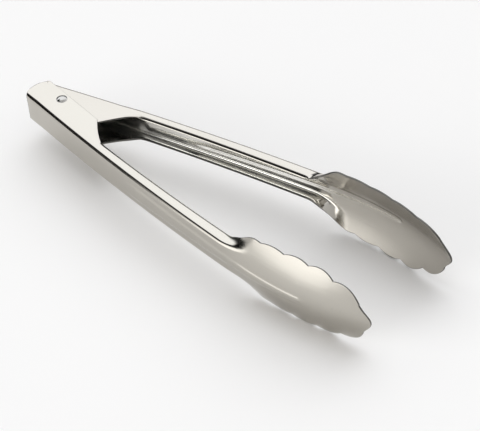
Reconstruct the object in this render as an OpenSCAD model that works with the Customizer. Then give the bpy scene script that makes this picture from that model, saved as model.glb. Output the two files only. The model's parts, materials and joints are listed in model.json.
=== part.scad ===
// Spring loaded kitchen tongs: two stamped sheet-steel arms, a pivot rivet
// through their nested ears, and a torsion spring that holds them open.
//
// +X runs from the pivot towards the jaws, +Z is the pivot axis, and the two
// arms open to either side of Y = 0. The origin is the middle of the bottom
// of the whole object's box.
//
// Each arm is one stamping. Its surface is worked out in the arm's own axes:
// u along the arm from the pivot, v outwards from the other arm, z up.

/* [Arms] */
// Length of an arm from its rear edge to the tip of its bowl
arm_length = 240; // [190:1:320]
// Distance from the pivot axis back to the rear edge of the web
rear_length = 16; // [13:0.1:26]
// Thickness of the sheet
sheet_t = 0.9; // [0.7:0.05:1.5]
// Full height of the channel from flange to flange
channel_h = 16.3; // [13:0.1:24]
// Distance of the web's outer face from the pivot axis, at its rear edge
web_rear = 8.8; // [7.5:0.1:13]
// Distance of the web's outer face from the pivot axis, at the neck
web_neck = 16.4; // [12:0.1:24]
// Height by which the inner arm's flanges lie inside the line of the outer arm's
inner_drop = 0.75; // [0:0.05:1.2]
// Outside radius of the bend between web and flange
bend_r = 2.2; // [1.4:0.1:2.9]
// Width of the narrow flange at the throat
flange_throat_w = 5.7; // [5.2:0.1:8]
// Width of the narrow flange at the neck
flange_neck_w = 7; // [5.6:0.1:9]
// Angle through which the free edge of the narrow flange curls inwards
curl_angle = 62; // [20:1:80]

/* [Head] */
// Width of an outer ear, from the web's outer face to the ear's free edge
ear_w = 14; // [12:0.1:20]
// Width of an inner ear at its front, where it is widest
inner_ear_front_w = 16.6; // [13:0.1:20]
// Radius of the rounded rear corners of the ears
ear_corner_r = 2; // [1:0.1:3]
// Distance from the pivot axis to the front of the full-width ear
ear_front = 24.5; // [16:0.5:40]
// Length of the slanting throat where the ear narrows to the flange
throat_l = 14.5; // [8:0.5:24]
// Radius of the rounded rear edge of an ear
rear_r = 11; // [9.5:0.1:16]
// Gap between the nested ears of the two arms
ear_gap = 0.35; // [0.3:0.05:0.8]
// Gap left between the inner arm's ears and the outer arm's bends when open
stop_gap = 0.4; // [0.3:0.05:0.8]

/* [Bowl] */
// Length from the neck, where the web stands furthest out, to the tip
bowl_length = 75; // [50:0.1:110]
// Half width of the bowl at its widest, between two scallops
bowl_half_w = 17.9; // [12:0.1:26]
// Half width of the bowl at the corners of its tip
tip_half_w = 8.7; // [6:0.1:14]
// Radius of the hollow across the bowl
bowl_r = 26.7; // [17:0.1:45]
// How far the scallop nearest the neck stands out of the rim
scallop_neck_h = 0.6; // [0.4:0.1:3]
// How far the scallop nearest the tip stands out of the rim
scallop_tip_h = 2.1; // [0.5:0.1:3.5]
// Scallops along each side of the bowl, before the one at the tip
scallops = 5; // [3:1:8]

/* [Bead] */
// Height of the stiffening bead pressed outwards along the web
bead_h = 0.5; // [0.3:0.05:0.9]
// Half width of the bead where it starts
bead_start_w = 4.9; // [3:0.1:6]
// Half width of the bead where it ends in the bowl
bead_end_w = 2.3; // [2:0.1:4]

/* [Pivot] */
// Diameter of the rivet's shank
rivet_d = 3.4; // [2.5:0.1:6]
// Diameter of the rivet's domed heads
rivet_head_d = 5.4; // [4:0.1:10]
// Height of the rivet's domed heads
rivet_head_h = 1.1; // [0.6:0.05:2.5]
// Radial clearance between the rivet and the ears that turn on it
pivot_clearance = 0.06; // [0.02:0.01:0.1]

/* [Spring] */
// Diameter of the spring's wire
wire_d = 1.4; // [0.8:0.1:1.8]
// Mean radius of the spring's coil
coil_r = 3.6; // [3:0.1:5]
// Turns of the coil, as whole turns
coil_turns = 4; // [2:1:5]
// Distance from the pivot axis to the foot of each leg, along its arm
leg_length = 29; // [20:0.5:36]

/* [Motion] */
// Angle of each arm from the middle when the tongs are open
half_open = 6.7; // [4:0.1:9]

/* [Hidden] */

steel_bright = [0.80, 0.80, 0.79];
steel_far = [0.74, 0.73, 0.71];
rivet_steel = [0.62, 0.62, 0.62];
spring_steel = [0.45, 0.46, 0.47];

// Places along an arm
tip_u = arm_length - rear_length;
neck_u = tip_u - bowl_length;
flare_back = 15;
flare_front = 8;
flare_start = neck_u - flare_back;
flare_end = neck_u + flare_front;
corner_back = 5.9;
corner_u = tip_u - corner_back;
first_lobe_u = neck_u - 2.9;
lobe_pitch = (corner_u - first_lobe_u) / scallops;
widest_u = neck_u + 0.45 * bowl_length;
tip_web = sheet_t + 0.3;
spine_power = 2.1;
section_bend = 2.2;
neck_narrowing = 0.14;
bead_start_u = ear_front + throat_l + 20;
bead_end_u = neck_u + 0.53 * bowl_length;
bead_run_in = 18;
bead_flank = 2;

// Heights of the channel
outer_half_h = channel_h / 2;
inner_half_h = outer_half_h - sheet_t - ear_gap;

// Width of the inner arm's ears at the rear: their corners reach the gap from the
// inside of the outer arm's bend just as the tongs are fully open
bend_inside_r = bend_r - sheet_t;
bend_in_way = bend_inside_r
    - sqrt(max(0, pow(bend_inside_r, 2) - pow(inner_half_h - outer_half_h + bend_r, 2)));
ear_limit_v = web_rear - sheet_t - bend_in_way - stop_gap;
inner_ear_rear_w = web_rear
    + (ear_limit_v - (rear_length - 1) * sin(2 * half_open)) / cos(2 * half_open);

// The curled edge of the flange
curl_r = 2.4;
curl_len = curl_r * curl_angle * PI / 180;

// Mesh steps
web_steps = 6;
bend_steps = 4;
flange_steps = 3;
curl_steps = 3;
half_steps = web_steps + bend_steps + flange_steps + curl_steps;
wire_sides = 12;
coil_ring_deg = 15;
eps = 0.02;

function clamp01(x) = min(1, max(0, x));
function smooth(x) = let (c = clamp01(x)) c * c * (3 - 2 * c);
function mix(a, b, k) = a + (b - a) * k;

// ---- surface of an arm ------------------------------------------------

// Outer face of the web: two curves that meet level at the neck
function web_v(u) =
    u < neck_u
        ? web_neck - (web_neck - web_rear) * pow((neck_u - u) / (neck_u + rear_length), 2)
        : web_neck - (web_neck - tip_web) * pow((u - neck_u) / bowl_length, spine_power);

// An arm is told from the other by four sizes: the half heights of its head and
// of its handle, and the widths of its ears at the rear and at the front
outer_sizes = [outer_half_h, outer_half_h, ear_w, ear_w];
inner_sizes = [inner_half_h, outer_half_h - inner_drop, inner_ear_rear_w, inner_ear_front_w];

// Half height of the channel, which rises along the throat
function half_h(u, sizes) = mix(sizes[0], sizes[1], smooth((u - ear_front) / throat_l));

// Width of the flange: a wide ear, a slanting throat, then a narrow flange
function narrow_w(u) =
    mix(flange_throat_w, flange_neck_w,
        clamp01((u - ear_front - throat_l) / (flare_start - ear_front - throat_l)));
function corner_cut(u) =
    let (k = 1 - clamp01((u + rear_length) / ear_corner_r))
    ear_corner_r * (1 - sqrt(1 - k * k));
function flange_w(u, sizes) =
    let (
        head_w = mix(sizes[2], sizes[3], clamp01((u + rear_length) / (ear_front + rear_length))),
        k = clamp01((u - ear_front) / throat_l)
    )
    mix(head_w, narrow_w(u), 1 - pow(1 - k, 1.3)) - corner_cut(u);

// How much of the curl is formed: none on the ears, none on the bowl
function curl_at(u) =
    smooth((u - ear_front - 0.6 * throat_l) / (0.8 * throat_l))
    * (1 - smooth((u - flare_start) / (0.6 * flare_back)));

// How far the section has changed from channel to bowl
function flare(u) = smooth((u - flare_start) / (flare_end - flare_start));

// Half width of the bowl's rim along the roots of the scallops
function root_z(u) =
    u < widest_u
        ? bowl_half_w * (1 - neck_narrowing * pow((widest_u - u) / (widest_u - flare_start), 2))
        : bowl_half_w
          - (bowl_half_w - tip_half_w) * pow((u - widest_u) / (corner_u - widest_u), 2.4);
function root_slope(u) = (root_z(u + eps) - root_z(u - eps)) / (2 * eps);

// Height of a scallop at u: one parabola per scallop, growing towards the tip
function lobe(u) =
    let (k = (u - first_lobe_u) / lobe_pitch)
    let (f = k - floor(k), h = mix(scallop_neck_h, scallop_tip_h, floor(k) / (scallops - 1)))
    u <= first_lobe_u || u >= corner_u ? 0 : h * (1 - pow(2 * f - 1, 2)) * flare(u);

// Rim of the bowl as [u, z], for the station at u
function rim(u) =
    let (m = root_slope(u), n = sqrt(1 + m * m))
    [u - m / n * lobe(u), root_z(u) + lobe(u) / n];

// How far a section line bows forward at its middle, to reach round the tip
function bow(u) = corner_back * pow(clamp01((u - flare_end) / (corner_u - flare_end)), 2);

// Depth of the hollow across the bowl at height z: round at the spine, and
// almost straight towards the rim
function hollow(x) = (sqrt(1 + pow(section_bend * x, 2)) - 1) / (sqrt(1 + pow(section_bend, 2)) - 1);
function bowl_depth(u, z) = pow(root_z(u), 2) / (2 * bowl_r) * hollow(z / root_z(u));

// Height of the bead at u, z
function bead_half_w(u) = mix(bead_start_w, bead_end_w,
    clamp01((u - bead_start_u) / (bead_end_u - bead_start_u)));
function bead(u, z) =
    let (past = max(0, u - bead_end_u + bead_end_w))
    let (d = bead_half_w(u) - sqrt(z * z + past * past))
    bead_h * smooth(d / bead_flank) * smooth((u - bead_start_u) / bead_run_in);

// Channel section: [v inwards from the web's face, z] of point j of half_steps
function channel_point(u, j, sizes) =
    let (
        w = flange_w(u, sizes),
        hh = half_h(u, sizes),
        curl = max(1, curl_angle * curl_at(u)),
        bend0 = web_steps,
        flange0 = bend0 + bend_steps,
        curl0 = flange0 + flange_steps,
        flat = w - bend_r - curl_len * sin(curl) / (curl * PI / 180)
    )
    j <= bend0 ? [0, (hh - bend_r) * j / web_steps]
    : j <= flange0
        ? let (a = 90 * (j - bend0) / bend_steps)
          [bend_r * (1 - cos(a)), hh - bend_r * (1 - sin(a))]
    : j <= curl0 ? [bend_r + flat * (j - flange0) / flange_steps, hh]
    : let (a = curl * (j - curl0) / curl_steps, r = curl_len / (curl * PI / 180))
      [bend_r + flat + r * sin(a), hh - r * (1 - cos(a))];

// Share of the way from spine to rim that point j of the bowl section takes
spread_total = (outer_half_h - bend_r) + bend_r * PI / 2 + flange_neck_w - bend_r + 0.4;
function spread(j) =
    let (
        bend0 = web_steps,
        flange0 = bend0 + bend_steps,
        web_l = outer_half_h - bend_r,
        bend_l = bend_r * PI / 2,
        edge_l = spread_total - web_l - bend_l
    )
    (j <= bend0 ? web_l * j / web_steps
     : j <= flange0 ? web_l + bend_l * (j - bend0) / bend_steps
     : web_l + bend_l + edge_l * (j - flange0) / (half_steps - flange0)) / spread_total;

// Rear edge: the ears end on an arc about a centre between web and pivot
rear_arc_u = rear_r - rear_length - 2;
rear_arc_v = web_rear - 6;
function rear_edge_u(v) = rear_arc_u - sqrt(max(0.01, rear_r * rear_r - pow(v - rear_arc_v, 2)));
function rear_pull(u) = clamp01((rear_arc_u - u) / (rear_arc_u + rear_length));

// Outer face of an arm at station u and point j, as [u, v, z]; j < 0 is below
function face_point(u, j, sizes) =
    let (
        n = abs(j),
        b = flare(u),
        c = channel_point(u, n, sizes),
        r = rim(u),
        k = spread(n),
        bowl_u = r[0] * k * k + (u + bow(u)) * (1 - k * k),
        pu = mix(u, bowl_u, b),
        bz = k * r[1],
        z = mix(c[1], bz, b),
        cv = web_v(u) - c[0],
        bv = web_v(bowl_u) - bowl_depth(u, bz),
        v = mix(cv, bv, b),
        back = mix(pu, rear_edge_u(v), rear_pull(u))
    )
    [back, v + bead(pu, z), sign(j) * z];

// Stations along an arm: close together where the shape changes quickly
function span(a, b, n) = [for (i = [0 : n - 1]) a + (b - a) * i / n];
stations = concat(
    span(-rear_length, -rear_length + ear_corner_r, 3),
    span(-rear_length + ear_corner_r, rear_arc_u, 3),
    span(rear_arc_u, ear_front, 5),
    span(ear_front, ear_front + throat_l, 10),
    span(ear_front + throat_l, flare_start, 10),
    span(flare_start, first_lobe_u + lobe_pitch, 16),
    span(first_lobe_u + lobe_pitch, corner_u, 7 * (scallops - 1)),
    [corner_u]
);

function unit(a) = a / max(1e-9, norm(a));

// The outer face pushed in by the sheet's thickness, along its normal
function offset_grid(g) =
    let (ni = len(g) - 1, nj = len(g[0]) - 1)
    [for (i = [0 : ni]) [for (j = [0 : nj])
        let (
            along = g[min(ni, i + 1)][j] - g[max(0, i - 1)][j],
            across = g[i][min(nj, j + 1)] - g[i][max(0, j - 1)]
        )
        g[i][j] - sheet_t * unit(cross(across, along))
    ]];

function join(lists) = [for (l = lists) each l];

// Closed shell between the outer face and its offset
module sheet_shell(sizes) {
    outer = [for (u = stations) [for (j = [-half_steps : half_steps]) face_point(u, j, sizes)]];
    inner = offset_grid(outer);
    rows = len(outer);
    cols = len(outer[0]);
    loop = 2 * cols;
    points = join([for (i = [0 : rows - 1])
        concat(outer[i], [for (j = [cols - 1 : -1 : 0]) inner[i][j]])]);
    walls = join([for (i = [0 : rows - 2]) for (j = [0 : loop - 1])
        let (
            a = i * loop + j,
            b = i * loop + (j + 1) % loop,
            c = (i + 1) * loop + (j + 1) % loop,
            d = (i + 1) * loop + j
        )
        [[[a, c, b], [a, d, c]]]]);
    caps = join([for (i = [0, rows - 1]) for (j = [0 : cols - 2])
        let (
            a = i * loop + j,
            b = i * loop + j + 1,
            c = i * loop + loop - 2 - j,
            d = i * loop + loop - 1 - j
        )
        [i == 0 ? [[a, b, c], [a, c, d]] : [[a, c, b], [a, d, c]]]]);
    polyhedron(points, join(concat(walls, caps)), convexity = 12);
}

// An arm in its own axes, with the pivot hole through both ears
module arm(sizes, hole_r) {
    difference() {
        sheet_shell(sizes);
        cylinder(h = 2 * channel_h, r = hole_r, center = true, $fn = 48);
    }
}

// ---- place of the whole object --------------------------------------------

// Points that may reach the sides of the object's box: the free edge of an
// arm, its tip, and the rear edges of both arms' ears
free_edge = [for (u = stations) face_point(u, half_steps, outer_sizes)];
section_tip = [for (j = [0 : half_steps]) face_point(corner_u, j, outer_sizes)];
rear_edges = [for (sizes = [outer_sizes, inner_sizes]) for (j = [0 : half_steps])
    face_point(-rear_length, j, sizes)];
function open_x(p) = p[0] * cos(half_open) - p[1] * sin(half_open);
edge_x = [for (p = concat(free_edge, section_tip, rear_edges)) open_x(p)];
edge_z = [for (p = free_edge) p[2]];
centre_x = (min(edge_x) + max(edge_x)) / 2;
base_z = max(edge_z);

module place() {
    translate([-centre_x, 0, base_z]) children();
}

// side = -1 puts an arm at -Y, side = 1 at +Y
module opened(side) {
    place() rotate([0, 0, side * half_open]) mirror([0, side < 0 ? 1 : 0, 0]) children();
}

// ---- sub-parts -------------------------------------------------------------

module outer_arm() {
    color(steel_bright) opened(-1) arm(outer_sizes, rivet_d / 2);
}

module inner_arm() {
    color(steel_far) opened(1) arm(inner_sizes, rivet_d / 2 + pivot_clearance);
}

// Part of a ball that stands rivet_head_h over the ear
module rivet_head() {
    head_r = rivet_head_d / 2;
    ball_r = (head_r * head_r + rivet_head_h * rivet_head_h) / (2 * rivet_head_h);
    intersection() {
        translate([0, 0, rivet_head_h - ball_r]) sphere(r = ball_r, $fn = 64);
        cylinder(h = rivet_head_h, r = head_r, $fn = 64);
    }
}

module pivot_rivet() {
    color(rivet_steel) place() {
        cylinder(h = channel_h, r = rivet_d / 2, center = true, $fn = 48);
        translate([0, 0, channel_h / 2]) rivet_head();
        mirror([0, 0, 1]) translate([0, 0, channel_h / 2]) rivet_head();
    }
}

// ---- torsion spring ---------------------------------------------------------

// Wire centreline: foot, leg, coil, leg and foot, in the object's own axes
coil_pitch = wire_d + 0.15;
coil_half_h = coil_turns * coil_pitch / 2;
leg_gap = 0.3;
foot_h = 2.2;
function leg_stand(side, z) =
    let (v = web_v(leg_length) - sheet_t - wire_d / 2 - leg_gap)
    [leg_length * cos(half_open) - v * sin(half_open),
     side * (leg_length * sin(half_open) + v * cos(half_open)), z];

// Angle at which a line from the coil's rim runs straight to a foot
function tangent_deg(side) =
    let (p = leg_stand(side, 0))
    side * (atan2(abs(p[1]), p[0]) + acos(coil_r / norm([p[0], p[1]])));
coil_start = tangent_deg(-1);
coil_end = tangent_deg(1) + 360 * coil_turns - 360;
coil_rings = ceil((coil_end - coil_start) / coil_ring_deg);
coil_path = [for (i = [0 : coil_rings])
    let (a = mix(coil_start, coil_end, i / coil_rings))
    [coil_r * cos(a), coil_r * sin(a), mix(-coil_half_h, coil_half_h, i / coil_rings)]];
function leg_path(side, z) =
    let (from = coil_r * [cos(tangent_deg(side)), sin(tangent_deg(side))], to = leg_stand(side, z))
    [for (k = [0.12, 0.5, 0.9]) [mix(from[0], to[0], k), mix(from[1], to[1], k), z]];
function reversed(l) = [for (i = [len(l) - 1 : -1 : 0]) l[i]];
spring_path = concat(
    [leg_stand(-1, -coil_half_h + foot_h), leg_stand(-1, -coil_half_h + 0.5)],
    reversed(leg_path(-1, -coil_half_h)),
    coil_path,
    leg_path(1, coil_half_h),
    [leg_stand(1, coil_half_h - 0.5), leg_stand(1, coil_half_h - foot_h)]
);

// Tube swept along a path; each ring stands square to the path
module wire(path, r) {
    n = len(path);
    ways = [for (i = [0 : n - 1]) unit(path[min(n - 1, i + 1)] - path[max(0, i - 1)])];
    side0 = unit(cross(ways[0], [1, 0, 0]));
    sides = [for (i = 0, s = side0; i < n;
        i = i + 1, s = i < n ? unit(s - ways[i] * (s * ways[i])) : s) s];
    points = join([for (i = [0 : n - 1])
        let (up = cross(ways[i], sides[i]))
        [for (k = [0 : wire_sides - 1])
            let (a = 360 * k / wire_sides)
            path[i] + r * (cos(a) * sides[i] + sin(a) * up)]]);
    walls = join([for (i = [0 : n - 2]) for (k = [0 : wire_sides - 1])
        let (
            a = i * wire_sides + k,
            b = i * wire_sides + (k + 1) % wire_sides,
            c = b + wire_sides,
            d = a + wire_sides
        )
        [[[a, c, b], [a, d, c]]]]);
    first = [for (k = [0 : wire_sides - 1]) k];
    last = [for (k = [wire_sides - 1 : -1 : 0]) (n - 1) * wire_sides + k];
    polyhedron(points, concat(join(walls), [first, last]), convexity = 10);
}

module torsion_spring() {
    color(spring_steel) place() wire(spring_path, wire_d / 2);
}

outer_arm();
inner_arm();
pivot_rivet();
torsion_spring();
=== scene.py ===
"""Spring loaded kitchen tongs: two stamped steel arms, their rivet and torsion spring, and the studio.

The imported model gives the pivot, the rivet's size and the boxes. Each arm is one smooth sheet, worked
out in the arm's own axes in millimetres: u along the arm from the pivot, v outwards, z up.
"""

import json
import math

import bpy
import numpy as np
from mathutils import Matrix, Vector

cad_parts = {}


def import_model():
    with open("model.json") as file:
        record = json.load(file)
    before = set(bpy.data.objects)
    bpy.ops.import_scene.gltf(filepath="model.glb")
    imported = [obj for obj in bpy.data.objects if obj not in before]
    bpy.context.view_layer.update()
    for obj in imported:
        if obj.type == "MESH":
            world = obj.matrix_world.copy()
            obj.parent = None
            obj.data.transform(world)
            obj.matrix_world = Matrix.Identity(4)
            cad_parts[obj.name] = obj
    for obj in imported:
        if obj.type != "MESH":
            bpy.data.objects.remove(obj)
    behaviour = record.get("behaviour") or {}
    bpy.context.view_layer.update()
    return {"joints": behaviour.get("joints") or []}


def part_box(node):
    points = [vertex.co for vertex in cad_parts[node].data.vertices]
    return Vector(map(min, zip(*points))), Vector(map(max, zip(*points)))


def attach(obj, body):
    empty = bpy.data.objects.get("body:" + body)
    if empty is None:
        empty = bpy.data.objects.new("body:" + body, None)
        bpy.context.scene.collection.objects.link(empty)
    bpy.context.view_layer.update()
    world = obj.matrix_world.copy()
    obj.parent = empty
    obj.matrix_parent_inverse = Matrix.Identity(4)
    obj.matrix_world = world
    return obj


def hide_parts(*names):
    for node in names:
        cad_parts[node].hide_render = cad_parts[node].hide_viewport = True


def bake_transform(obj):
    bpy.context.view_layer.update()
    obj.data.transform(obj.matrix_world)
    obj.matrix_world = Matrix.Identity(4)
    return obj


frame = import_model()

MM = 0.001


def box_mm(node):
    """Lowest and highest corner of a CAD node, in millimetres."""
    return [np.array(corner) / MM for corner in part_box(node)]


# ---- what the frame says ------------------------------------------------------

joint = frame["joints"][0]
pivot = np.array(joint["pos_m"]) / MM
closing_deg = max(abs(limit) for limit in joint["range_deg"])
half_open = math.radians(closing_deg / 2)
rivet_low, rivet_high = box_mm("pivot_rivet")
rivet_head_r = (rivet_high[0] - rivet_low[0]) / 2

# ---- sizes of an arm, in millimetres ------------------------------------------

arm_length = 240.0
rear_length = 16.0
sheet_t = 0.9
channel_h = 16.3
web_rear = 8.8
web_neck = 16.4
inner_drop = 0.75
bend_r = 2.2
flange_throat_w = 5.7
flange_neck_w = 7.0
curl_angle = math.radians(62)
curl_r = 2.4
ear_w = 14.0
inner_ear_front_w = 16.6
ear_corner_r = 2.0
ear_front = 24.5
throat_l = 14.5
rear_r = 11.0
ear_gap = 0.35
stop_gap = 0.4
bowl_length = 75.0
bowl_half_w = 17.9
tip_half_w = 8.7
bowl_r = 26.7
scallop_neck_h = 0.6
scallop_tip_h = 2.1
scallops = 5
bead_h = 0.5
bead_start_w = 4.9
bead_end_w = 2.3
bead_flank = 2.0
bead_run_in = 18.0
rivet_r = 1.7
pivot_clearance = 0.06
wire_r = 0.7
coil_r = 3.6
coil_turns = 4
leg_length = 29.0
leg_gap = 0.3
turn_gap = 0.15
foot_bend_r = 1.2
foot_h = 2.2
edge_r = 0.2
face_shift = 200.0
tiny = 1e-6
slope_step = 0.02

tip_u = arm_length - rear_length
neck_u = tip_u - bowl_length
flare_back = 15.0
flare_front = 8.0
widest_share = 0.45
root_power = 2.4
bead_share = 0.53
bead_behind_l = 20.0
throat_power = 1.3
curl_in_start = 0.6
curl_in_l = 0.8
curl_out_l = 0.6
curl_extra_l = 0.4
flange_share = 0.5
rear_arc_ahead = 2.0
rear_arc_inwards = 6.0
rear_slack = 1.0
flare_start = neck_u - flare_back
flare_end = neck_u + flare_front
corner_back = 5.9
corner_u = tip_u - corner_back
first_lobe_u = neck_u - 2.9
lobe_pitch = (corner_u - first_lobe_u) / scallops
widest_u = neck_u + widest_share * bowl_length
tip_web = sheet_t + 0.3
spine_power = 2.1
section_bend = 2.2
neck_narrowing = 0.14
bead_start_u = ear_front + throat_l + bead_behind_l
bead_end_u = neck_u + bead_share * bowl_length
curl_len = curl_r * curl_angle
rear_arc_u = rear_r - rear_length - rear_arc_ahead
rear_arc_v = web_rear - rear_arc_inwards
outer_half_h = channel_h / 2
inner_half_h = outer_half_h - sheet_t - ear_gap

bend_inside_r = bend_r - sheet_t
bend_in_way = bend_inside_r - math.sqrt(bend_inside_r ** 2 - (inner_half_h - outer_half_h + bend_r) ** 2)
ear_limit_v = web_rear - sheet_t - bend_in_way - stop_gap
inner_ear_rear_w = web_rear + (
    ear_limit_v - (rear_length - rear_slack) * math.sin(2 * half_open)
) / math.cos(2 * half_open)

# What tells the arms apart: half height of the head and of the handle, width of the ears behind and in front
OUTER_SIZES = (outer_half_h, outer_half_h, ear_w, ear_w)
INNER_SIZES = (inner_half_h, outer_half_h - inner_drop, inner_ear_rear_w, inner_ear_front_w)


# ---- the surface of an arm ----------------------------------------------------


def smooth(x):
    """Smooth step from 0 to 1 over the same range of x."""
    c = np.clip(x, 0, 1)
    return c * c * (3 - 2 * c)


def mix(a, b, k):
    """The value that lies the share k of the way from a to b."""
    return a + (b - a) * k


def web_v(u):
    """Outer face of the web: two curves that meet level at the neck."""
    behind = web_neck - (web_neck - web_rear) * ((neck_u - u) / (neck_u + rear_length)) ** 2
    reach = np.maximum(u - neck_u, 0) / bowl_length
    ahead = web_neck - (web_neck - tip_web) * reach ** spine_power
    return np.where(u < neck_u, behind, ahead)


def flange_w(u, sizes):
    """A wide ear with a rounded rear corner, a slanting throat, then a narrow flange."""
    head_w = mix(sizes[2], sizes[3], np.clip((u + rear_length) / (ear_front + rear_length), 0, 1))
    corner = 1 - np.clip((u + rear_length) / ear_corner_r, 0, 1)
    corner_cut = ear_corner_r * (1 - np.sqrt(1 - corner * corner))
    k = np.clip((u - ear_front) / throat_l, 0, 1)
    along = np.clip((u - ear_front - throat_l) / (flare_start - ear_front - throat_l), 0, 1)
    return mix(head_w, mix(flange_throat_w, flange_neck_w, along), 1 - (1 - k) ** throat_power) - corner_cut


def curl_at(u):
    """How much of the curled edge is formed: none on the ears, none on the bowl."""
    begun = smooth((u - ear_front - curl_in_start * throat_l) / (curl_in_l * throat_l))
    return begun * (1 - smooth((u - flare_start) / (curl_out_l * flare_back)))


def flare(u):
    """How far the section has changed from channel to bowl."""
    return smooth((u - flare_start) / (flare_end - flare_start))


def root_z(u):
    """Half width of the bowl along the roots of the scallops."""
    behind = bowl_half_w * (1 - neck_narrowing * ((widest_u - u) / (widest_u - flare_start)) ** 2)
    ahead = np.maximum(u - widest_u, 0) / (corner_u - widest_u)
    narrowed = bowl_half_w - (bowl_half_w - tip_half_w) * ahead ** root_power
    return np.where(u < widest_u, behind, narrowed)


def rim(u):
    """Rim of the bowl, as its u and z: a row of scallops that grow towards the tip."""
    k = (u - first_lobe_u) / lobe_pitch
    f = k - np.floor(k)
    on_row = (u > first_lobe_u) & (u < corner_u - tiny)
    height = mix(scallop_neck_h, scallop_tip_h, np.floor(k) / (scallops - 1))
    lobe = np.where(on_row, height * (1 - (2 * f - 1) ** 2) * flare(u), 0)
    slope = (root_z(u + slope_step) - root_z(u - slope_step)) / (2 * slope_step)
    n = np.sqrt(1 + slope ** 2)
    return u - slope / n * lobe, root_z(u) + lobe / n


def bowl_depth(u, z):
    """Depth of the hollow across the bowl: round at the spine, almost straight towards the rim."""
    half_w = root_z(u)
    rise = np.sqrt(1 + (section_bend * z / half_w) ** 2) - 1
    return half_w ** 2 / (2 * bowl_r) * rise / (math.sqrt(1 + section_bend ** 2) - 1)


def bead(u, z):
    """Height of the stiffening bead pressed outwards along the web and into the bowl."""
    half_w = mix(bead_start_w, bead_end_w, np.clip((u - bead_start_u) / (bead_end_u - bead_start_u), 0, 1))
    past = np.maximum(0, u - bead_end_u + bead_end_w)
    depth = half_w - np.sqrt(z * z + past * past)
    return bead_h * smooth(depth / bead_flank) * smooth((u - bead_start_u) / bead_run_in)


# Fractions of each stretch of half a section: web, bend, flange and curled edge
WEB, BEND, FLANGE, CURL = range(4)
SECTION_STEPS = (26, 14, 9, 9)


def half_section():
    """The points of half a section from the web's middle to the free edge, as (stretch, fraction)."""
    points = [(WEB, 0.0)]
    for stretch, steps in enumerate(SECTION_STEPS):
        points += [(stretch, (i + 1) / steps) for i in range(steps)]
    return np.array([p[0] for p in points]), np.array([p[1] for p in points])


def channel_section(u, stretch, f, sizes):
    """Distance inwards from the web's face, and height, of each point of the channel's section."""
    w = flange_w(u, sizes)
    half_h = mix(sizes[0], sizes[1], smooth((u - ear_front) / throat_l))
    curl = np.maximum(math.radians(1), curl_angle * curl_at(u))
    flat = w - bend_r - curl_len * np.sin(curl) / curl
    bend = f * math.pi / 2
    r = curl_len / curl
    inwards = np.select(
        [stretch == WEB, stretch == BEND, stretch == FLANGE],
        [0 * u, bend_r * (1 - np.cos(bend)) + 0 * u, bend_r + flat * f],
        bend_r + flat + r * np.sin(curl * f),
    )
    height = np.select(
        [stretch == WEB, stretch == BEND, stretch == FLANGE],
        [(half_h - bend_r) * f, half_h - bend_r * (1 - np.sin(bend)), half_h + 0 * f],
        half_h - r * (1 - np.cos(curl * f)),
    )
    return inwards, height


def rim_share(stretch, f):
    """Share of the way from the bowl's spine to its rim that each point of a section takes."""
    web_l = outer_half_h - bend_r
    bend_l = bend_r * math.pi / 2
    edge_l = flange_neck_w - bend_r + curl_extra_l
    at = np.select(
        [stretch == WEB, stretch == BEND, stretch == FLANGE],
        [web_l * f, web_l + bend_l * f, web_l + bend_l + edge_l * flange_share * f],
        web_l + bend_l + edge_l * (flange_share + (1 - flange_share) * f),
    )
    return at / (web_l + bend_l + edge_l)


def arm_face(u, stretch, f, side, sizes):
    """Outer face of an arm, as an array of (u, v, z), for stations u and the points of a section."""
    inwards, height = channel_section(u, stretch, f, sizes)
    b = flare(u)
    rim_u, rim_z = rim(u)
    k = rim_share(stretch, f)
    # a section line bows forward at its middle, to reach round the tip
    bow = corner_back * np.clip((u - flare_end) / (corner_u - flare_end), 0, 1) ** 2
    bowl_u = rim_u * k * k + u * (1 - k * k) + bow * (1 - k * k) ** 2
    pu = mix(u, bowl_u, b)
    bowl_z = k * rim_z
    z = mix(height, bowl_z, b)
    v = mix(web_v(u) - inwards, web_v(bowl_u) - bowl_depth(u, bowl_z), b)
    rear_edge_u = rear_arc_u - np.sqrt(np.maximum(0.01, rear_r ** 2 - (v - rear_arc_v) ** 2))
    pull = np.clip((rear_arc_u - u) / (rear_arc_u + rear_length), 0, 1)
    back = mix(pu, rear_edge_u, pull)
    return np.stack([back, v + bead(pu, z), side * z], axis=-1)


def stations():
    """Stations along an arm, closer together where the shape changes quickly."""
    spans = [
        (-rear_length, -rear_length + ear_corner_r, 10),
        (-rear_length + ear_corner_r, rear_arc_u, 12),
        (rear_arc_u, ear_front, 26),
        (ear_front, ear_front + throat_l, 40),
        (ear_front + throat_l, flare_start, 90),
        (flare_start, first_lobe_u, 48),
        (first_lobe_u, corner_u, 30 * scallops),
    ]
    us = [np.linspace(a, b, n, endpoint=False) for a, b, n in spans]
    return np.concatenate(us + [np.array([corner_u])])


def unit(a):
    """Rows of vectors, each with a length of one."""
    return a / np.maximum(np.linalg.norm(a, axis=-1, keepdims=True), 1e-12)


def grid_normals(grid):
    """Normals of a grid of points, pointing away from the other arm."""
    along = np.empty_like(grid)
    along[1:-1] = unit(grid[2:] - grid[1:-1]) + unit(grid[1:-1] - grid[:-2])
    along[0], along[-1] = grid[1] - grid[0], grid[-1] - grid[-2]
    across = np.empty_like(grid)
    across[:, 1:-1] = grid[:, 2:] - grid[:, :-2]
    across[:, 0], across[:, -1] = grid[:, 1] - grid[:, 0], grid[:, -1] - grid[:, -2]
    return unit(np.cross(across, along))


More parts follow.
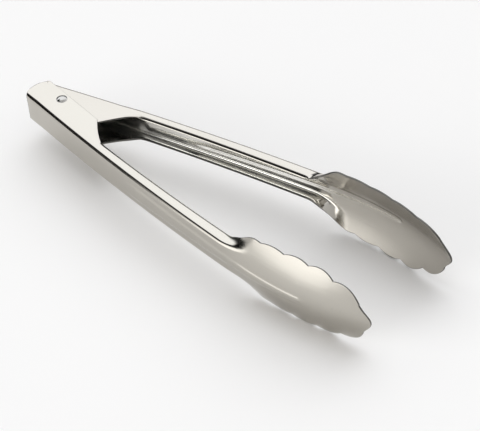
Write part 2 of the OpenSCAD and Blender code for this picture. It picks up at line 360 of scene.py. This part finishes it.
def boundary(rows, cols):
    """Indices of a grid's edge, once round, as one loop."""
    first = [(0, j) for j in range(cols)]
    right = [(i, cols - 1) for i in range(1, rows)]
    last = [(rows - 1, j) for j in range(cols - 2, -1, -1)]
    left = [(i, 0) for i in range(rows - 2, 0, -1)]
    return np.array(first + right + last + left)


def sheet_mesh(name, sizes):
    """A closed sheet with softly rounded edges, in the arm's own axes and millimetres."""
    stretch, f = half_section()
    stretch = np.concatenate([stretch[:0:-1], stretch])
    side = np.concatenate([-np.ones(len(f) - 1), [0.0], np.ones(len(f) - 1)])
    f = np.concatenate([f[:0:-1], f])
    us = stations()[:, None]
    outer = arm_face(us, stretch[None, :], f[None, :], side[None, :], sizes)
    normal = grid_normals(outer)
    inner = outer - sheet_t * normal
    rows, cols = outer.shape[:2]

    # pull the edge loops back by the edge's radius, square to the loop
    loop = boundary(rows, cols)
    li, lj = loop[:, 0], loop[:, 1]
    edge, edge_n = outer[li, lj].copy(), normal[li, lj]
    ahead = unit(np.roll(edge, -1, axis=0) - edge) + unit(edge - np.roll(edge, 1, axis=0))
    outwards = unit(np.cross(unit(ahead), edge_n))
    middle = edge - sheet_t / 2 * edge_n
    ring_deg = (0, 30, 60, 90)
    rings = []
    for facing, degrees in ((1, ring_deg), (-1, ring_deg[::-1])):
        for a in degrees:
            rise = facing * (sheet_t / 2 - edge_r + edge_r * math.cos(math.radians(a)))
            reach = edge_r * (math.sin(math.radians(a)) - 1)
            rings.append(middle + rise * edge_n + reach * outwards)
    outer[li, lj] = rings[0]
    inner[li, lj] = rings[-1]

    n = rows * cols
    points = [outer.reshape(-1, 3), inner.reshape(-1, 3)] + rings[1:-1]
    index = np.arange(n).reshape(rows, cols)
    a, b, c, d = index[:-1, :-1], index[:-1, 1:], index[1:, 1:], index[1:, :-1]
    outer_quads = np.stack([a, b, c, d], axis=-1).reshape(-1, 4)
    quads = [outer_quads, outer_quads[:, ::-1] + n]
    flat_loop = li * cols + lj
    count = len(loop)
    ring_index = [flat_loop]
    ring_index += [2 * n + k * count + np.arange(count) for k in range(len(rings) - 2)]
    ring_index += [n + flat_loop]
    for r0, r1 in zip(ring_index[:-1], ring_index[1:]):
        quads.append(np.stack([np.roll(r0, -1), r0, r1, np.roll(r1, -1)], axis=-1))

    # grain coordinates: distance along the arm and round its section, moved aside by face_shift
    # for the inner face and by as much the other way for the cut edge
    along = np.broadcast_to(outer[:, cols // 2, 0][:, None], (rows, cols))
    steps = np.linalg.norm(np.diff(outer, axis=1), axis=-1)
    across = np.concatenate([np.zeros((rows, 1)), np.cumsum(steps, axis=1)], axis=1)
    across -= across[:, cols // 2][:, None].copy()
    grain = np.stack([along, across], axis=-1).reshape(-1, 2)
    shift = np.array([0.0, face_shift])
    grains = [grain, grain + shift] + [grain[flat_loop] - shift] * (len(rings) - 2)

    mesh = bpy.data.meshes.new(name)
    mesh.from_pydata(np.concatenate(points).tolist(), [], np.concatenate(quads).tolist())
    uv = np.concatenate(grains)
    layer = mesh.uv_layers.new(name="Grain")
    corner = np.empty(len(mesh.loops), np.int64)
    mesh.loops.foreach_get("vertex_index", corner)
    layer.data.foreach_set("uv", (uv[corner] * MM).astype(np.float32).ravel())
    mesh.polygons.foreach_set("use_smooth", [True] * len(mesh.polygons))
    return mesh


def link(name, mesh):
    """An object of a mesh, in the scene."""
    obj = bpy.data.objects.new(name, mesh)
    bpy.context.scene.collection.objects.link(obj)
    return obj


def apply_modifiers(obj):
    """Replaces the object's mesh by what its modifiers make of it."""
    graph = bpy.context.evaluated_depsgraph_get()
    made = bpy.data.meshes.new_from_object(obj.evaluated_get(graph))
    old = obj.data
    obj.modifiers.clear()
    obj.data = made
    made.name = old.name
    bpy.data.meshes.remove(old)


def drill(obj, radius):
    """Cuts the round pivot hole through both ears, in the arm's own axes."""
    sides = 96
    height = 2 * channel_h
    ring = [
        (radius * math.cos(2 * math.pi * k / sides), radius * math.sin(2 * math.pi * k / sides))
        for k in range(sides)
    ]
    points = [(x, y, z) for z in (-height, height) for x, y in ring]
    walls = [(k, (k + 1) % sides, sides + (k + 1) % sides, sides + k) for k in range(sides)]
    caps = [tuple(range(sides - 1, -1, -1)), tuple(range(sides, 2 * sides))]
    mesh = bpy.data.meshes.new("drill")
    mesh.from_pydata(points, [], walls + caps)
    cutter = link("drill", mesh)
    cut = obj.modifiers.new("hole", "BOOLEAN")
    cut.operation = "DIFFERENCE"
    cut.solver = "EXACT"
    cut.object = cutter
    apply_modifiers(obj)
    bpy.data.objects.remove(cutter)
    bpy.data.meshes.remove(mesh)


def place_arm(obj, side):
    """Turns an arm to its open place about the pivot, in metres; side -1 is at -Y."""
    flip = Matrix.Diagonal((1, side, 1, 1))
    turn = Matrix.Rotation(side * half_open, 4, "Z")
    move = Matrix.Translation(Vector(pivot))
    obj.data.transform(Matrix.Scale(MM, 4) @ move @ turn @ flip)
    if side < 0:
        obj.data.flip_normals()


def keep_flats_flat(obj, crease_deg=40):
    """Smooth shading whose normals follow the large faces, with true creases kept sharp."""
    obj.data.set_sharp_from_angle(angle=math.radians(crease_deg))
    weighted = obj.modifiers.new("flats", "WEIGHTED_NORMAL")
    weighted.mode = "FACE_AREA"
    weighted.keep_sharp = True
    apply_modifiers(obj)


def make_arm(name, sizes, side, hole_r):
    """One arm, drilled for the rivet and turned to its place."""
    obj = link(name, sheet_mesh(name, sizes))
    drill(obj, hole_r)
    place_arm(obj, side)
    keep_flats_flat(obj)
    return obj


# ---- rivet ----------------------------------------------------------------------


def tube_faces(rings, sides):
    """The faces of a closed tube of rings of points, with a cap at each end."""
    faces = []
    for i in range(rings - 1):
        for k in range(sides):
            n = (k + 1) % sides
            faces.append((i * sides + k, i * sides + n, (i + 1) * sides + n, (i + 1) * sides + k))
    faces.append(tuple(range(sides - 1, -1, -1)))
    faces.append(tuple((rings - 1) * sides + k for k in range(sides)))
    return faces


def lathe(name, profile, sides, centre):
    """A solid turned about the pivot axis; profile runs from the bottom to the top, as (radius, z)."""
    points = []
    for r, z in profile:
        for k in range(sides):
            a = 2 * math.pi * k / sides
            points.append((r * math.cos(a), r * math.sin(a), z))
    mesh = bpy.data.meshes.new(name)
    mesh.from_pydata(points, [], tube_faces(len(profile), sides))
    mesh.polygons.foreach_set("use_smooth", [True] * len(mesh.polygons))
    mesh.transform(Matrix.Scale(MM, 4) @ Matrix.Translation(Vector(centre)))
    return link(name, mesh)


def make_rivet():
    """A shank flush in the outer ears, with a domed head peened down on each."""
    top = rivet_high[2] - pivot[2]
    seat = channel_h / 2
    head_h = top - seat
    ball_r = (rivet_head_r ** 2 + head_h ** 2) / (2 * head_h)
    rim_h = 0.12
    rim_round = 0.08
    rim_inset = 0.02
    crown_r = 0.07
    dome = []
    dome_steps = 16
    reach = math.asin((rivet_head_r - rim_inset) / ball_r)
    for k in range(dome_steps + 1):
        a = reach * (1 - k / dome_steps)
        dome.append((max(ball_r * math.sin(a), crown_r), top - ball_r * (1 - math.cos(a))))
    head = [(rivet_r, seat), (rivet_head_r - rim_round, seat), (rivet_head_r, seat + rim_h * 0.5)]
    upper = head + [(r, max(z, seat + rim_h)) for r, z in dome]
    lower = [(r, -z) for r, z in reversed(upper)]
    obj = lathe("rivet", lower + upper, 72, pivot)
    keep_flats_flat(obj, crease_deg=50)
    return obj


# ---- torsion spring ---------------------------------------------------------------


def leg_foot(side, z):
    """Where a leg stands against the inside of its arm's web."""
    v = float(web_v(np.array(leg_length))) - sheet_t - wire_r - leg_gap
    c, s = math.cos(half_open), math.sin(half_open)
    return Vector((leg_length * c - v * s, side * (leg_length * s + v * c), z))


def spring_path():
    """Centreline of the wire: foot, leg, coil, leg and foot, with round corners."""
    pitch = 2 * wire_r + turn_gap
    half_h = coil_turns * pitch / 2
    tangent = {}
    for side in (-1, 1):
        p = leg_foot(side, 0)
        tangent[side] = side * (math.atan2(abs(p.y), p.x) + math.acos(coil_r / p.xy.length))
    start, end = tangent[-1], tangent[1] + 2 * math.pi * (coil_turns - 1)
    steps = 44 * coil_turns
    coil = []
    for i in range(steps + 1):
        a, z = mix(start, end, i / steps), mix(-half_h, half_h, i / steps)
        coil.append(Vector((coil_r * math.cos(a), coil_r * math.sin(a), z)))

    def leg(side, z, rise):
        """From the coil out to the foot, which turns up or down through a round corner."""
        a = tangent[side]
        root = Vector((coil_r * math.cos(a), coil_r * math.sin(a), z))
        foot = leg_foot(side, z)
        way = (foot - root).normalized()
        up = Vector((0, 0, rise))
        points = [root.lerp(foot - way * foot_bend_r, k / 12) for k in range(1, 13)]
        centre = foot - way * foot_bend_r + up * foot_bend_r
        for k in range(1, 9):
            b = k / 8 * math.pi / 2
            points.append(centre + way * foot_bend_r * math.sin(b) - up * foot_bend_r * math.cos(b))
        points += [foot + up * mix(foot_bend_r, foot_h, k / 2) for k in (1, 2)]
        return points

    return leg(-1, -half_h, 1)[::-1] + coil + leg(1, half_h, -1)


def make_spring():
    """The wire: a round tube along the spring's path."""
    path = [p + Vector(pivot) for p in spring_path()]
    sides = 20
    points = []
    normal = None
    for i, p in enumerate(path):
        way = (path[min(len(path) - 1, i + 1)] - path[max(0, i - 1)]).normalized()
        if normal is None:
            normal = way.cross(Vector((1, 0, 0))).normalized()
        normal = (normal - way * normal.dot(way)).normalized()
        binormal = way.cross(normal)
        for k in range(sides):
            a = 2 * math.pi * k / sides
            points.append(p + (normal * math.cos(a) + binormal * math.sin(a)) * wire_r)
    mesh = bpy.data.meshes.new("spring")
    mesh.from_pydata([p * MM for p in points], [], tube_faces(len(path), sides))
    mesh.polygons.foreach_set("use_smooth", [True] * len(mesh.polygons))
    mesh.set_sharp_from_angle(angle=math.radians(50))
    return link("spring", mesh)


# ---- materials ----------------------------------------------------------------------

# Near white for the inside of the channel along the handle: a painted reflection, lighter than the steel's
# own colour
painted_reflection_colour = (0.92, 0.91, 0.87)
edge_steel = (0.15, 0.145, 0.135)
handle_roughness = 0.085
bowl_roughness = 0.2
# Depths of the bumps, in metres
wave_depth = 4e-5
streak_depth = 1.2e-6
hairline_depth = 4e-7
scuff_depth = 6e-7
turned_cloud_depth = 6e-6


def node_maker(tree):
    """A function that adds a node to the tree with its settings and its inputs, as values or links."""

    def add(kind, inputs=None, **settings):
        node = tree.nodes.new(kind)
        for key, value in settings.items():
            setattr(node, key, value)
        for key, value in (inputs or {}).items():
            if isinstance(value, bpy.types.NodeSocket):
                tree.links.new(value, node.inputs[key])
            else:
                node.inputs[key].default_value = value
        return node

    return add


def new_material(name):
    """A material with a Principled shader, and its maker of nodes."""
    material = bpy.data.materials.new(name)
    material.use_nodes = True
    tree = material.node_tree
    return material, tree, tree.nodes["Principled BSDF"], node_maker(tree)


def stretched_noise(add, vector, stretch, detail):
    """Noise drawn out by different amounts along each axis; stretch is in lengths per metre."""
    scaled = add("ShaderNodeVectorMath", {0: vector, 1: stretch}, operation="MULTIPLY")
    noise = add("ShaderNodeTexNoise", {"Vector": scaled.outputs[0], "Scale": 1.0, "Detail": detail})
    return noise.outputs["Fac"]


def ramp(add, value, low, high, to_low, to_high):
    """Smooth step of a value from one range to another."""
    settings = {"Value": value, "From Min": low, "From Max": high, "To Min": to_low, "To Max": to_high}
    return add("ShaderNodeMapRange", settings, interpolation_type="SMOOTHSTEP").outputs["Result"]


def sum_of(add, terms):
    """The sum of several node values."""
    total = terms[0]
    for term in terms[1:]:
        total = add("ShaderNodeMath", {0: total, 1: term}, operation="ADD").outputs[0]
    return total


def blend_colours(add, share, first, second):
    """From the first colour to the second by a share; a colour is a tuple or a node's output."""
    inputs = {0: share}
    for key, colour in ((6, first), (7, second)):
        inputs[key] = (*colour, 1) if isinstance(colour, tuple) else colour
    return add("ShaderNodeMix", inputs, data_type="RGBA").outputs[2]


def finish(tree, shader, add, colour, roughness, bumps):
    """Joins colour, roughness and bumps to the shader; bumps are (height, depth in metres)."""
    tree.links.new(colour, shader.inputs["Base Color"])
    tree.links.new(roughness, shader.inputs["Roughness"])
    shader.inputs["Metallic"].default_value = 1.0
    normal = None
    for height, depth in bumps:
        bump = add("ShaderNodeBump", {"Height": height, "Distance": depth})
        if normal is not None:
            tree.links.new(normal, bump.inputs["Normal"])
        normal = bump.outputs["Normal"]
    tree.links.new(normal, shader.inputs["Normal"])


def sheet_steel(name, dull, light, offset):
    """Stainless sheet: polished with a fine grain along the handle, satin in the bowl.

    The cut edges are dark, the inside of the channel along the handle is painted near white as a painted
    reflection, and offset moves the grain, so that no two arms have the same.
    """
    material, tree, shader, add = new_material(name)
    grain_uv = add("ShaderNodeUVMap", uv_map="Grain").outputs["UV"]
    place = add("ShaderNodeVectorMath", {0: grain_uv, 1: (offset, offset, 0)}, operation="ADD").outputs[0]
    parts = add("ShaderNodeSeparateXYZ", {"Vector": grain_uv}).outputs
    satin = ramp(add, parts["X"], (neck_u - 12) * MM, (neck_u + 10) * MM, 0.0, 1.0)
    polished = ramp(add, parts["X"], (neck_u - 25) * MM, (neck_u + 2) * MM, 1.0, 0.0)
    limit = face_shift / 2 * MM
    inner_face = ramp(add, parts["Y"], limit, 1.1 * limit, 0.0, 1.0)
    cut_edge = ramp(add, parts["Y"], -1.1 * limit, -limit, 1.0, 0.0)
    clouds = stretched_noise(add, place, (28, 60, 0), 3.0)
    streaks = stretched_noise(add, place, (22, 1100, 0), 4.0)
    hairlines = stretched_noise(add, place, (120, 9000, 0), 2.0)
    scuffs = stretched_noise(add, place, (1900, 260, 0), 1.0)
    scuff_marks = ramp(add, scuffs, 0.66, 0.74, 0.0, 1.0)
    # Mask of the inside face along the handle, where the painted reflection goes
    painted_reflection_inside = add("ShaderNodeMath", {0: inner_face, 1: polished}, operation="MULTIPLY").outputs[0]
    roughness = sum_of(add, [
        ramp(add, satin, 0.0, 1.0, handle_roughness, bowl_roughness),
        ramp(add, streaks, 0.3, 0.7, -0.02, 0.03),
        ramp(add, clouds, 0.3, 0.7, -0.012, 0.022),
        ramp(add, scuff_marks, 0.0, 1.0, 0.0, 0.05),
        ramp(add, cut_edge, 0.0, 1.0, 0.0, 0.2),
        ramp(add, painted_reflection_inside, 0.0, 1.0, 0.0, 0.04),
    ])
    colour = blend_colours(add, clouds, dull, light)
    # Painted reflection: the inside of the channel along the handle is painted near white
    colour = blend_colours(add, painted_reflection_inside, colour, painted_reflection_colour)
    colour = blend_colours(add, cut_edge, colour, edge_steel)
    waves = stretched_noise(add, place, (30, 75, 0), 1.0)
    rough_side = ramp(add, painted_reflection_inside, 0.0, 1.0, 1.0, 0.15)

    def outside(height):
        """A height that is pressed flat on the inside of the channel, where a reflection is painted."""
        return add("ShaderNodeMath", {0: height, 1: rough_side}, operation="MULTIPLY").outputs[0]

    bumps = (
        (outside(waves), wave_depth),
        (outside(streaks), streak_depth),
        (outside(hairlines), hairline_depth),
        (outside(scuff_marks), scuff_depth),
    )
    finish(tree, shader, add, colour, roughness, bumps)
    return material


def turned_steel(name, dull, light, base_roughness, stretch, depth):
    """Solid steel with fine rings or draw marks; stretch sets which way they run."""
    material, tree, shader, add = new_material(name)
    place = add("ShaderNodeTexCoord").outputs["Object"]
    clouds = stretched_noise(add, place, (420, 420, 420), 2.0)
    marks = stretched_noise(add, place, stretch, 3.0)
    roughness = sum_of(add, [
        ramp(add, marks, 0.3, 0.7, base_roughness - 0.03, base_roughness + 0.05),
        ramp(add, clouds, 0.3, 0.7, 0.0, 0.03),
    ])
    colour = blend_colours(add, clouds, dull, light)
    finish(tree, shader, add, colour, roughness, ((clouds, turned_cloud_depth), (marks, depth)))
    return material


# ---- studio ---------------------------------------------------------------------------

# Softbox as azimuth, elevation, angle within which it is full, angle at which it ends
top_softbox = (139, 42, 34, 62)
top_light = (1.08, 1.12, 1.19)
room_light = (0.7, 0.7, 0.7)
# Panel and screen as azimuth, half width, height of the top, width of the soft edges, in degrees
side_panel = (-110, 27, 26, 6)
panel_light = (2.15, 2.15, 2.15)
dark_screen = (-143, 16, 57, 7)
# The walls are dark up to the first of these heights and bright from the second
wall_top = (10, 24)
dark_share = 0.03
floor_r = 0.42
floor_colour = (0.93, 0.915, 0.895)
seen_behind = (0.93, 0.93, 0.93)

# The camera's direction from the object in degrees, its place in metres and its lens
camera_way = (-40.54, 39.32)
camera_roll_deg = 9.18
camera_distance = 2.9709
aim_from_pivot = (0.1210, -0.00646, 0.0)
lens_mm = 486.6


def towards(azimuth_deg, elevation_deg):
    """A direction as a unit vector."""
    az, el = math.radians(azimuth_deg), math.radians(elevation_deg)
    return (math.cos(el) * math.cos(az), math.cos(el) * math.sin(az), math.sin(el))


def camera():
    """A long lens from the front right, a little above."""
    target = Vector(pivot * MM) + Vector(aim_from_pivot)
    roll = math.radians(camera_roll_deg)
    back = Vector(towards(*camera_way))
    right = (-back).cross(Vector((0, 0, 1))).normalized()
    up = right.cross(-back)
    rolled_right = right * math.cos(roll) - up * math.sin(roll)
    rolled_up = right * math.sin(roll) + up * math.cos(roll)
    data = bpy.data.cameras.new("camera")
    data.sensor_width = 36.0
    data.lens = lens_mm
    data.clip_start = 0.1
    data.clip_end = 20.0
    obj = bpy.data.objects.new("camera", data)
    place = target + back * camera_distance
    axes = Matrix((rolled_right, rolled_up, back)).transposed()
    obj.matrix_world = Matrix.Translation(place) @ axes.to_4x4()
    bpy.context.scene.collection.objects.link(obj)
    bpy.context.scene.camera = obj


def floor():
    """A plain pale disc under the object."""
    sides = 128
    mesh = bpy.data.meshes.new("floor")
    turns = [2 * math.pi * k / sides for k in range(sides)]
    ring = [(floor_r * math.cos(a), floor_r * math.sin(a), 0) for a in turns]
    mesh.from_pydata(ring, [], [tuple(range(sides))])
    obj = link("floor", mesh)
    material, _, shader, _ = new_material("pale_floor")
    shader.inputs["Base Color"].default_value = (*floor_colour, 1)
    shader.inputs["Roughness"].default_value = 0.9
    shader.inputs["Specular IOR Level"].default_value = 0.1
    mesh.materials.append(material)


def world():
    """A room with dark walls under a bright ceiling, a softbox, a panel at the side and a dark screen."""
    data = bpy.data.worlds.new("studio")
    data.use_nodes = True
    tree = data.node_tree
    background = tree.nodes["Background"]
    add = node_maker(tree)
    way = add("ShaderNodeTexCoord").outputs["Generated"]

    def dot(direction):
        return add("ShaderNodeVectorMath", {0: way, 1: direction}, operation="DOT_PRODUCT").outputs["Value"]

    def softbox(azimuth, elevation, inner_deg, outer_deg):
        low, high = math.cos(math.radians(outer_deg)), math.cos(math.radians(inner_deg))
        return ramp(add, dot(towards(azimuth, elevation)), low, high, 0.0, 1.0)

    def upright(azimuth, half_deg, top_deg, edge_deg):
        """A board that stands at an azimuth, from below the floor up to its top."""
        off_axis = add("ShaderNodeMath", {0: dot(towards(azimuth + 90, 0))}, operation="ABSOLUTE").outputs[0]
        across = ramp(add, off_axis, math.sin(math.radians(half_deg)),
                      math.sin(math.radians(half_deg + edge_deg)), 1.0, 0.0)
        facing = ramp(add, dot(towards(azimuth, 0)), 0.0, 0.2, 0.0, 1.0)
        below = ramp(add, height, math.sin(math.radians(top_deg)),
                     math.sin(math.radians(top_deg + edge_deg)), 1.0, 0.0)
        return times(times(across, facing), below)

    def times(a, b):
        return add("ShaderNodeMath", {0: a, 1: b}, operation="MULTIPLY").outputs[0]

    def scaled(colour, strength):
        return add("ShaderNodeVectorMath", {0: colour, "Scale": strength}, operation="SCALE").outputs[0]

    def plus(a, b):
        return add("ShaderNodeVectorMath", {0: a, 1: b}, operation="ADD").outputs[0]

    height = dot((0, 0, 1))
    low, high = (math.sin(math.radians(a)) for a in wall_top)
    above_walls = ramp(add, height, low, high, dark_share, 1.0)
    light = plus(room_light, scaled(top_light, softbox(*top_softbox)))
    kept = times(above_walls, ramp(add, upright(*dark_screen), 0.0, 1.0, 1.0, dark_share))
    light = plus(scaled(light, kept), scaled(panel_light, upright(*side_panel)))
    seen = add("ShaderNodeLightPath").outputs["Is Camera Ray"]
    tree.links.new(blend_colours(add, seen, light, seen_behind), background.inputs["Color"])
    bpy.context.scene.world = data


# ---- the scene --------------------------------------------------------------------------

camera()
floor()
world()

bpy.context.scene.view_settings.view_transform = "Standard"

outer = make_arm("outer_arm_sheet", OUTER_SIZES, -1, rivet_r)
inner = make_arm("inner_arm_sheet", INNER_SIZES, 1, rivet_r + pivot_clearance)
rivet = make_rivet()
spring = make_spring()
outer_steel = sheet_steel("outer_arm_steel", (0.47, 0.447, 0.4), (0.51, 0.487, 0.44), 0.0)
inner_steel = sheet_steel("inner_arm_steel", (0.46, 0.435, 0.39), (0.5, 0.475, 0.43), 0.37)
rivet_steel = turned_steel(
    "rivet_steel", (0.4, 0.39, 0.37), (0.47, 0.46, 0.44), 0.11, (900, 900, 6000), 1e-6,
)
spring_steel = turned_steel(
    "spring_steel", (0.34, 0.335, 0.325), (0.42, 0.415, 0.4), 0.26, (900, 900, 900), 2e-6,
)
finishes = ((outer, outer_steel), (inner, inner_steel), (rivet, rivet_steel), (spring, spring_steel))
for piece, material in finishes:
    piece.data.materials.clear()
    piece.data.materials.append(material)

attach(outer, "outer_side")
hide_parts("outer_arm")
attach(inner, "inner_side")
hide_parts("inner_arm")
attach(rivet, "outer_side")
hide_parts("pivot_rivet")
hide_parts("torsion_spring")
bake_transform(spring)
